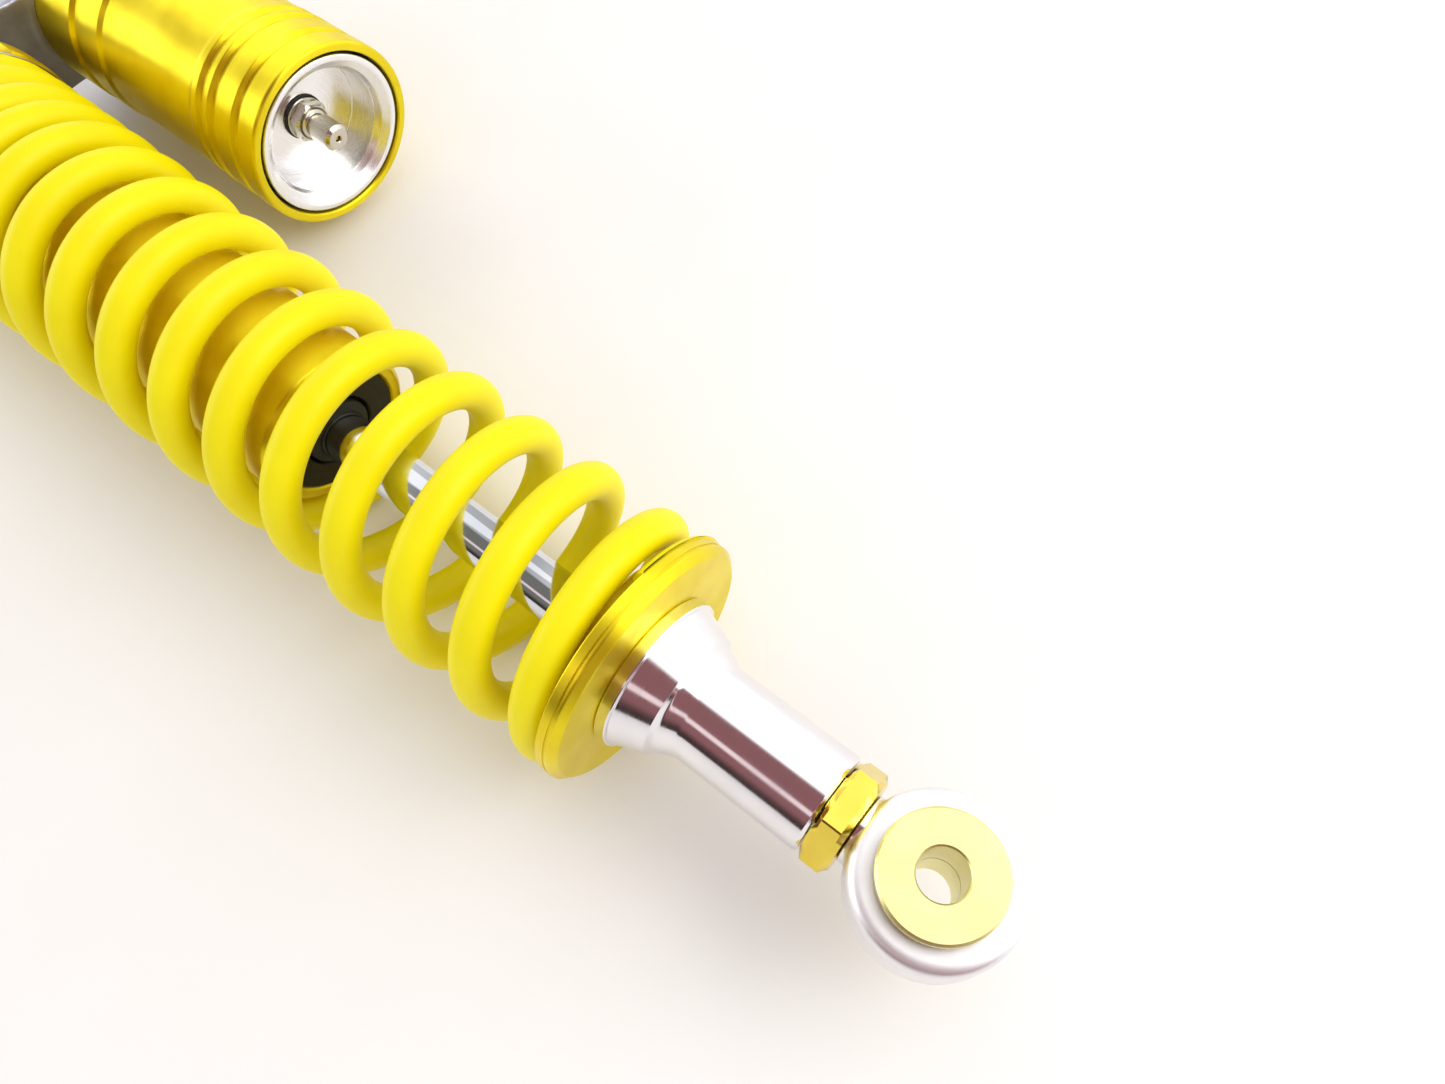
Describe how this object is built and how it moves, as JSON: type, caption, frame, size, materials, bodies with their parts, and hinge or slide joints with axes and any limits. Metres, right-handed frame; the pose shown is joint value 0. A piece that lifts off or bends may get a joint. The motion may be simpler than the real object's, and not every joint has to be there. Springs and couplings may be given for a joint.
{
  "type": "rear shock absorber",
  "caption": "Coil-over rear shock absorber with a gas reservoir beside the spring and a rubber-bushed eye at each end.",
  "frame": {"origin": "centre of the upper eye's bolt hole, half way across it", "axes": "+X along the shock to the lower eye, +Y to the gas reservoir, +Z along both bolt holes"},
  "size_m": [0.3944, 0.123, 0.061],
  "materials": {
    "cast_head": "cast aluminium, shot blasted and painted satin grey",
    "gold_anodised": "turned aluminium, bright gold anodised",
    "gold_plated": "turned steel, pale gold passivated zinc",
    "yellow_powder_coat": "glossy yellow powder coat on spring steel",
    "polished_aluminium": "polished to a mirror, with fine turning lines",
    "hard_chrome": "ground and hard chromed steel",
    "black_anodised": "turned aluminium, black anodised",
    "black_rubber": "moulded nitrile rubber, satin",
    "black_spring_steel": "blackened spring steel wire",
    "zinc_steel": "steel, bright zinc",
    "copper": "annealed copper",
    "spring_steel": "ground spring steel",
    "bearing_bronze": "sintered bronze",
    "machined_aluminium": "turned aluminium, bare",
    "guide_band": "filled PTFE",
    "nickel_brass": "turned brass, nickel plated",
    "brass_pin": "turned brass"
  },
  "bodies": {
    "head_and_damper": {"head_casting": "cast_head", "body_o_ring": "black_rubber", "damper_body": "gold_anodised", "passage_plug": "zinc_steel", "plug_washer": "copper", "spring_washer": "zinc_steel", "main_spring": "yellow_powder_coat", "seal_head": "black_anodised", "rod_guide_bush": "bearing_bronze", "oil_seal": "black_rubber", "dust_wiper": "black_rubber", "seal_head_o_ring": "black_rubber", "seal_head_circlip": "black_spring_steel", "dust_cover": "black_anodised", "top_out_bumper": "black_rubber", "reservoir_canister": "gold_anodised", "reservoir_o_ring": "black_rubber", "reservoir_end_cap": "polished_aluminium", "end_cap_o_ring": "black_rubber", "end_cap_circlip": "black_spring_steel", "gas_valve_body": "nickel_brass", "gas_valve_nut": "nickel_brass", "valve_seal_ring": "black_rubber", "valve_spring": "spring_steel", "upper_rubber_bush": "black_rubber"},
    "rod_assembly": {"piston_rod": "hard_chrome", "piston": "machined_aluminium", "piston_band": "guide_band", "compression_shims": "spring_steel", "rebound_shims": "spring_steel", "backing_washer": "zinc_steel", "piston_nut": "zinc_steel", "lower_spring_seat": "gold_anodised", "rod_extension": "polished_aluminium", "jam_nut": "gold_plated", "lower_eye": "polished_aluminium", "lower_rubber_bush": "black_rubber"},
    "separator_piston": {"floating_piston": "machined_aluminium", "floating_piston_o_ring": "black_rubber", "floating_piston_band": "guide_band"},
    "preload_adjuster": {"preload_ring": "gold_anodised"},
    "preload_lock": {"lock_ring": "gold_anodised"},
    "valve_core": {"valve_pin": "brass_pin"},
    "upper_spacers": {"upper_spacer_front": "gold_plated", "upper_spacer_rear": "gold_plated"},
    "lower_spacers": {"lower_spacer_front": "gold_plated", "lower_spacer_rear": "gold_plated"}
  },
  "joints": [
    {"name": "stroke", "type": "slide", "parent": "head_and_damper", "child": "rod_assembly", "axis": [-1, 0, 0], "range_m": [0, 0.06], "stiffness_N_per_m": 22000, "springref_m": -0.012, "deforming": ["main_spring"]},
    {"name": "separator_slide", "type": "slide", "parent": "head_and_damper", "child": "separator_piston", "axis": [1, 0, 0], "range_m": [0, 0.005]},
    {"name": "preload_turn", "type": "hinge", "parent": "head_and_damper", "child": "preload_adjuster", "pos_m": [0.048, 0, 0], "axis": [1, 0, 0], "continuous": true},
    {"name": "lock_turn", "type": "hinge", "parent": "head_and_damper", "child": "preload_lock", "pos_m": [0.0415, 0, 0], "axis": [1, 0, 0], "continuous": true},
    {"name": "valve_press", "type": "slide", "parent": "head_and_damper", "child": "valve_core", "axis": [-1, 0, 0], "range_m": [0, 0.0015], "stiffness_N_per_m": 1500, "springref_m": -0.001, "deforming": ["valve_spring"]},
    {"name": "upper_bush_twist", "type": "hinge", "parent": "head_and_damper", "child": "upper_spacers", "pos_m": [0, 0, 0], "axis": [0, 0, 1], "range_deg": [-12, 12], "stiffness_Nm_per_rad": 60},
    {"name": "lower_bush_twist", "type": "hinge", "parent": "rod_assembly", "child": "lower_spacers", "pos_m": [0.36, 0, 0], "axis": [0, 0, 1], "range_deg": [-12, 12], "stiffness_Nm_per_rad": 60}
  ],
  "couplings": [
    {"joint": "separator_slide", "follows": "stroke", "ratio": 0.08163}
  ]
}
